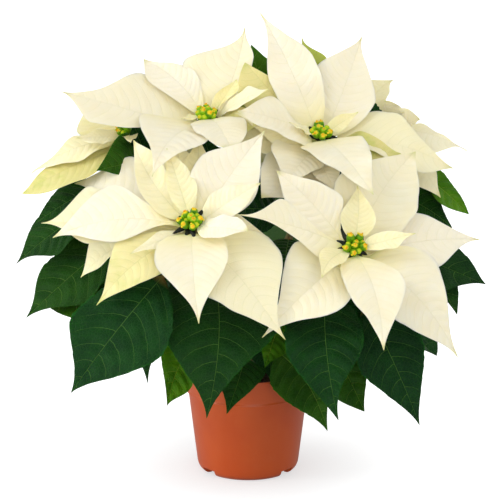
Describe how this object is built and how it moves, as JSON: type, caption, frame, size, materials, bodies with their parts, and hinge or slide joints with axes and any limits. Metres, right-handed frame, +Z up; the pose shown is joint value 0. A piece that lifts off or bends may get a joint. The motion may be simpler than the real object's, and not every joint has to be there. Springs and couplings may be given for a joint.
{
  "type": "potted poinsettia",
  "caption": "Bushy poinsettia with cream-white bracts and dark green leaves, growing in a round tapered terracotta-coloured plastic nursery pot.",
  "frame": {"origin": "on the floor, under the middle of the whole plant and pot", "axes": "+Z up along the pot's axis, -Y towards the plant's front, +X to its right"},
  "size_m": [0.4549, 0.378, 0.4405],
  "materials": {
    "pot": "satin",
    "soil": "matte",
    "stem": "satin",
    "cyathia": "satin",
    "bract": "matte",
    "leaf": "satin"
  },
  "bodies": {
    "root": {"pot": "pot", "soil": "soil", "stems": "stem", "cyathia_front_left": "cyathia", "bract_front_left_1": "bract", "bract_front_left_2": "bract", "bract_front_left_3": "bract", "bract_front_left_4": "bract", "bract_front_left_5": "bract", "bract_front_left_6": "bract", "bract_front_left_7": "bract", "bract_front_left_8": "bract", "bract_front_left_9": "bract", "bract_front_left_10": "bract", "bract_front_left_11": "bract", "cyathia_front_right": "cyathia", "bract_front_right_1": "bract", "bract_front_right_2": "bract", "bract_front_right_3": "bract", "bract_front_right_4": "bract", "bract_front_right_5": "bract", "bract_front_right_6": "bract", "bract_front_right_7": "bract", "bract_front_right_8": "bract", "cyathia_top_left": "cyathia", "bract_top_left_1": "bract", "bract_top_left_2": "bract", "bract_top_left_3": "bract", "bract_top_left_4": "bract", "bract_top_left_5": "bract", "bract_top_left_6": "bract", "cyathia_top_right": "cyathia", "bract_top_right_1": "bract", "bract_top_right_2": "bract", "bract_top_right_3": "bract", "bract_top_right_4": "bract", "bract_top_right_5": "bract", "cyathia_far_left": "cyathia", "bract_far_left_1": "bract", "bract_far_left_2": "bract", "cyathia_far_right": "cyathia", "bract_far_right_1": "bract", "cyathia_back": "cyathia", "bract_back_1": "bract", "bract_back_2": "bract", "bract_back_3": "bract", "leaf_front_left_outer": "leaf", "leaf_front_left": "leaf", "leaf_front_right": "leaf", "leaf_front_right_outer": "leaf", "leaf_front_low": "leaf", "leaf_left_low": "leaf", "leaf_left_middle": "leaf", "leaf_right_high": "leaf", "leaf_right_middle": "leaf", "leaf_right_low": "leaf", "leaf_back_right": "leaf", "leaf_back_left": "leaf", "leaf_side_right": "leaf", "leaf_side_left": "leaf"}
  },
  "joints": []
}
